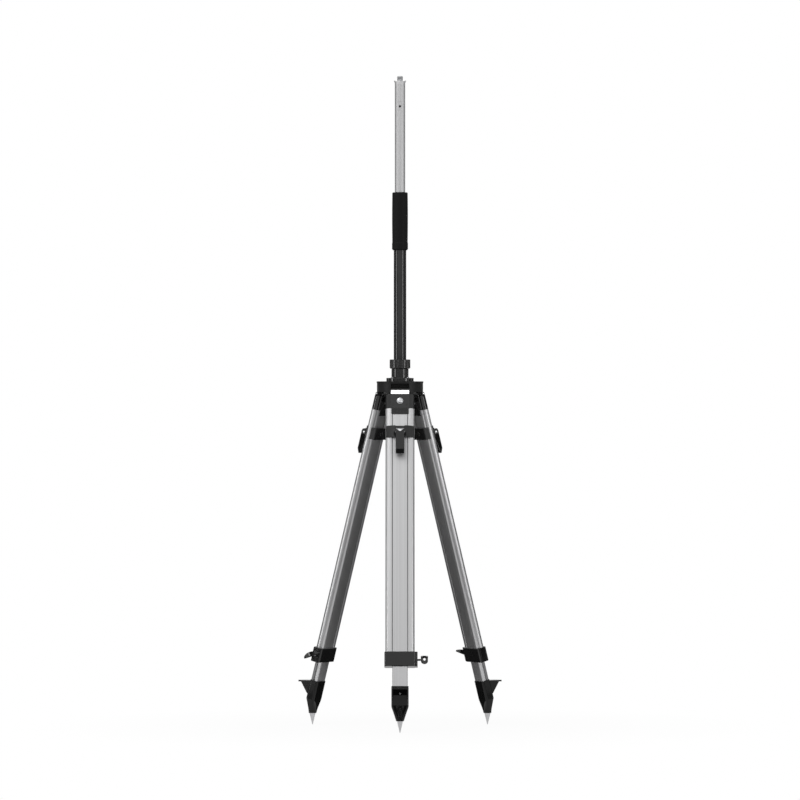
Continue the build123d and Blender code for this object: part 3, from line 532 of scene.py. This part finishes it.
# Feet: a moulded shoe on the inner leg's end, with a step to press it down, and a turned steel spike.
# The shoe is a darker moulding than the collar, with a small screw in the pocket under its step.
# The spike keeps the lathe's rings.
shoe_nylon = moulded_black("shoe_black_nylon", grey=0.004, gloss=0.05, grain_height=0.01, level=0.22)
shoe_screw_plating = plated_steel("shoe_screw_plating", grey=0.4, gloss=0.3)
shoe_front = 0.012
shoe_screw_drop = 0.787
first_screw = button_head("first_screw", radius=0.0027, height=0.0016, key=0.0018)
first_screw.data.transform(Matrix.Translation((0, -shoe_front, -shoe_screw_drop)) @ facing_out)
first_screw = merge([first_screw], "first_screw")
first_screw.data.materials.append(shoe_screw_plating)
for leg in legs:
    dress(shoe_nylon, leg + "_shoe")
    screw = copy_to_leg(first_screw, leg, "_shoe_screw")
    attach(screw, leg + "_foot")
bpy.data.objects.remove(first_screw)
finish, start = new_finish("spike_turned_steel")
place = start.node("TexCoord", output="Object")
ring_place = start.node("Mapping", None, Vector=place, Scale=(40.0, 40.0, 2600.0))
rings = start.node("TexNoise", None, Vector=ring_place, Scale=1.0, Detail=2.0)
cloud = start.node("TexNoise", None, Vector=place, Scale=180.0, Detail=3.0)
tone = start.mix(rings * 0.6 + cloud * 0.4, (0.38, 0.38, 0.385, 1), (0.56, 0.56, 0.57, 1))
relief = start.node("Bump", None, Height=rings, Strength=0.15, Distance=0.0002)
start.surface(Base_Color=tone, Metallic=1.0, Roughness=0.28 + cloud * 0.16, Normal=relief)
for leg in legs:
    dress(finish, leg + "_spike")


# Lower pole: a drawn tube with a satin black coat, which stands in the socket and is held by the nut.
# The coat is a little cloudy and shows faint draw lines down its length.
finish, start = new_finish("lower_tube_black_coat")
place = start.node("TexCoord", output="Object")
line_place = start.node("Mapping", None, Vector=place, Scale=(1500.0, 1500.0, 4.0))
lines = start.node("TexNoise", None, Vector=line_place, Scale=1.0, Detail=2.0)
cloud = start.node("TexNoise", None, Vector=place, Scale=30.0, Detail=4.0)
colour = start.mix(cloud, (0.01, 0.01, 0.0105, 1), (0.017, 0.017, 0.0175, 1))
relief = start.node("Bump", None, Height=lines, Strength=0.03, Distance=0.0001)
start.surface(
    Base_Color=colour,
    Roughness=0.05 + lines * 0.03 + cloud * 0.02,
    Normal=relief,
    Specular_IOR_Level=0.36,
)
dress(finish, "lower_tube")


# Grip: a moulded rubber sleeve pulled over the tube's end, matt, with a fine leathery grain.
# The guide bush inside it is plain black acetal.
finish, start = new_finish("grip_rubber_grain")
place = start.node("TexCoord", output="Object")
pebble = start.node("TexVoronoi", None, Vector=place, Scale=900.0)
cloud = start.node("TexNoise", None, Vector=place, Scale=42.0, Detail=4.0)
colour = start.mix(cloud, shade(0.002), shade(0.004))
relief = start.node("Bump", None, Height=pebble, Strength=0.2, Distance=0.0003)
start.surface(
    Base_Color=colour, Roughness=0.5 + cloud * 0.16, Normal=relief, Specular_IOR_Level=0.14
)
dress(finish, "grip")
bush_acetal = moulded_black("bush_black_acetal", grey=0.012, gloss=0.35, grain_height=0.05, level=0.4)
dress(bush_acetal, "guide_bush")


# Upper pole: a drawn aluminium tube, satin anodised, with a pin hole near its top.
# It runs in the guide bush and shows fine lines down its length.
tube_anodising = drawn_aluminium("upper_tube_anodising", None, grey=0.48, gloss=0.44)
dress(tube_anodising, "upper_tube")


# Top fitting: a plug in the tube with two short prongs, in grey blasted aluminium.
# Its prongs keep an instrument's base from turning.
finish, start = new_finish("fitting_blasted_grey")
place = start.node("TexCoord", output="Object")
blast = start.node("TexNoise", None, Vector=place, Scale=2600.0, Detail=2.0)
cloud = start.node("TexNoise", None, Vector=place, Scale=120.0, Detail=3.0)
colour = start.mix(cloud, (0.46, 0.46, 0.465, 1), (0.58, 0.58, 0.585, 1))
edge = start.node("Bevel", {"samples": 4}, Radius=0.0004)
relief = start.node("Bump", None, Height=blast, Strength=0.12, Distance=0.0001, Normal=edge)
start.surface(Base_Color=colour, Metallic=1.0, Roughness=0.4 + cloud * 0.15, Normal=relief)
dress(finish, "top_fitting")


# Instrument stud: plated steel with the standard survey thread, eleven turns to the inch.
# The thread is wound as a ridge on the stud's core, and its crest runs out in a chamfer at both ends.
# A relief is left below the thread, above the stud's foot.
stud_seat = 0.0012
stud_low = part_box("top_fitting")[1].z - stud_seat
stud_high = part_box("instrument_stud")[1].z
stud_radius = 0.00794
core_radius = 0.0066
ridge_root = core_radius - 0.0003
relief_height = 0.0028
foot_top = stud_low + 0.0010
pitch = 0.0254 / 11
thread_low = stud_low + relief_height
thread_turns = int((stud_high - thread_low) / pitch - ridge_share)
thread_high = thread_low + (thread_turns + ridge_share) * pitch
ridge = thread_ridge("ridge", ridge_root, stud_radius, pitch, thread_turns)
ridge.data.transform(Matrix.Translation((0, 0, thread_low + ridge_share / 2 * pitch)))
for corner in ridge.data.vertices:
    out = corner.co.xy.length
    limit = core_radius + max(0.0, min(corner.co.z - thread_low, thread_high - corner.co.z))
    if out > limit:
        corner.co.xy = corner.co.xy * (limit / out)
core = add_drum("core", core_radius, stud_low, stud_high, sides=64)
round_rim(core, stud_high, width=0.0006, steps=1)
foot = add_drum("foot", stud_radius, stud_low, foot_top, sides=64)
round_rim(foot, foot_top, width=0.0003, steps=2)
threaded_stud = merge([core, ridge, foot], "instrument_stud_threaded")
threaded_stud.data.materials.append(plated_steel("stud_plating", grey=0.46, gloss=0.4))
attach(threaded_stud, "pole_top")
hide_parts("instrument_stud")


# Studio: a pale floor that runs to the horizon and a white world, as in a catalogue photograph.
# The floor is shown white, and keeps a faint shadow round the feet.
def on_background(start):
    """1 for the rays that see the background as white: the camera's, and reflected and refracted ones."""
    seen = start.node("LightPath", output="Is Camera Ray")
    mirrored = start.node("LightPath", output="Is Glossy Ray")
    refracted = start.node("LightPath", output="Is Transmission Ray")
    return start.node("Clamp", None, seen + mirrored + refracted)


floor_size = 120.0
floor_grey = 0.86
shadow_reach = 0.35
shadow_end = 1.0
world_light = 0.55
bpy.ops.object.select_all(action="DESELECT")
bpy.ops.mesh.primitive_plane_add(size=floor_size, location=(0, 0, 0))
floor = bpy.context.active_object
floor.name = floor.data.name = "pale_floor"
finish, start = new_finish("pale_floor_paint")
lit = start.node("BsdfDiffuse", None, Color=shade(floor_grey))
white = start.node("Emission", None, Color=shade(1), Strength=1.0)
place = start.node("TexCoord", output="Object")
far = start.node("VectorMath", {"operation": "LENGTH"}, place, output="Value")
plain = start.node(
    "MapRange", None, far, From_Min=shadow_reach, From_Max=shadow_end, To_Min=0.94, To_Max=1.0
)
floor_paint = start.node("MixShader", None, on_background(start) * plain, lit, white)
start.node("OutputMaterial", None, Surface=floor_paint)
floor.data.materials.append(finish)

world = bpy.data.worlds.new("white_studio")
world.use_nodes = True
world.node_tree.nodes.clear()
bpy.context.scene.world = world
start = Wire(world.node_tree)
level = world_light + on_background(start) * (1 - world_light)
start.node("OutputWorld", None, Surface=start.node("Background", None, Color=shade(1), Strength=level))


# Cards: panels behind, beside and in front of the object and two sheets on the floor, which only
# reflections show. They draw the dark edges on the tubes and darken the faces that look down.
def card_paint(name, grey):
    finish, start = new_finish(name)
    start.node("OutputMaterial", None, Surface=start.node("BsdfDiffuse", None, Color=shade(grey)))
    return finish


def standing(side, back, middle, turn):
    """Matrix that stands a card up at this place, turned about the vertical by some degrees."""
    turned = Matrix.Translation((side, back, middle)) @ Matrix.Rotation(radians(turn), 4, "Z")
    return turned @ Matrix.Rotation(pi / 2, 4, "X")


def add_card(name, width, height, paint, place):
    bpy.ops.object.select_all(action="DESELECT")
    bpy.ops.mesh.primitive_plane_add(size=1.0)
    card = bpy.context.active_object
    card.name = card.data.name = name
    card.data.transform(place @ Matrix.Diagonal((width, height, 1, 1)))
    card.data.materials.append(paint)
    card.visible_camera = card.visible_diffuse = card.visible_shadow = False


dark_paint = card_paint("dark_card_paint", 0.05)
mid_paint = card_paint("mid_card_paint", 0.2)
pale_paint = card_paint("pale_card_paint", 0.35)
sheet_height = 0.0015
paired_cards = {  # width, height, paint, then how far to the side and behind, height of the middle, turn
    "_tube_card": (1.3, 0.95, mid_paint, 0.42, 0.66, 1.68, 32),
    "_far_card": (3.6, 0.7, dark_paint, 1.63, 2.52, 1.2, 33),
    "_low_card": (1.2, 0.8, dark_paint, 1.195, 0.583, 0.4, 64),
    "_side_card": (1.1, 0.65, dark_paint, 2.49, 0.22, 1.15, 85),
}
for name, (width, height, paint, side, back, middle, turn) in paired_cards.items():
    add_card("left" + name, width, height, paint, standing(-side, back, middle, turn))
    add_card("right" + name, width, height, paint, standing(side, back, middle, -turn))
add_card("left_strip_card", 0.68, 1.4, dark_paint, standing(-2.517, -1.539, 0.72, -58))
add_card("right_strip_card", 0.55, 1.4, dark_paint, standing(2.651, -1.293, 0.72, 64))
add_card("front_card", 24.0, 0.78, pale_paint, standing(0, -6.0, 0.59, 0))
add_card("front_sheet", 3.2, 1.5, dark_paint, Matrix.Translation((0, -1.25, sheet_height)))
add_card("back_sheet", 6.0, 2.6, dark_paint, Matrix.Translation((0, 1.5, sheet_height)))


# Lamps: a strip at either side of the camera for the lines of light down the tubes, and a soft box above.
# They are aimed at the middle of the tripod.
tripod_middle = Vector((0, 0, 0.95))


def add_lamp(name, place, width, height, watts):
    lamp = bpy.data.lights.new(name, "AREA")
    lamp.shape = "RECTANGLE"
    lamp.size = width
    lamp.size_y = height
    lamp.energy = watts
    holder = bpy.data.objects.new(name, lamp)
    bpy.context.scene.collection.objects.link(holder)
    holder.location = place
    aim = tripod_middle - holder.location
    holder.rotation_euler = aim.to_track_quat("-Z", "Y").to_euler()
    holder.visible_camera = False


add_lamp("left_strip", (-2.81, -1.05, 0.68), width=0.44, height=1.36, watts=13.0)
add_lamp("right_strip", (2.43, -1.76, 0.68), width=0.44, height=1.36, watts=13.0)
add_lamp("soft_box", (-1.6, -2.6, 4.4), width=2.6, height=2.6, watts=70.0)


# Camera: a long lens at the photograph's place, level with the top of the legs.
# A pixel of the photograph is 2.568 mm at the pole's axis.
lens = bpy.data.cameras.new("camera")
lens.sensor_width = 36.0
lens.lens = 265.5
lens.clip_end = 500.0
camera = bpy.data.objects.new("camera", lens)
bpy.context.scene.collection.objects.link(camera)
camera.location = (0.0, -15.15, 0.840)
camera.rotation_euler = (radians(90), 0, 0)
bpy.context.scene.camera = camera
bpy.context.scene.view_settings.view_transform = "Standard"
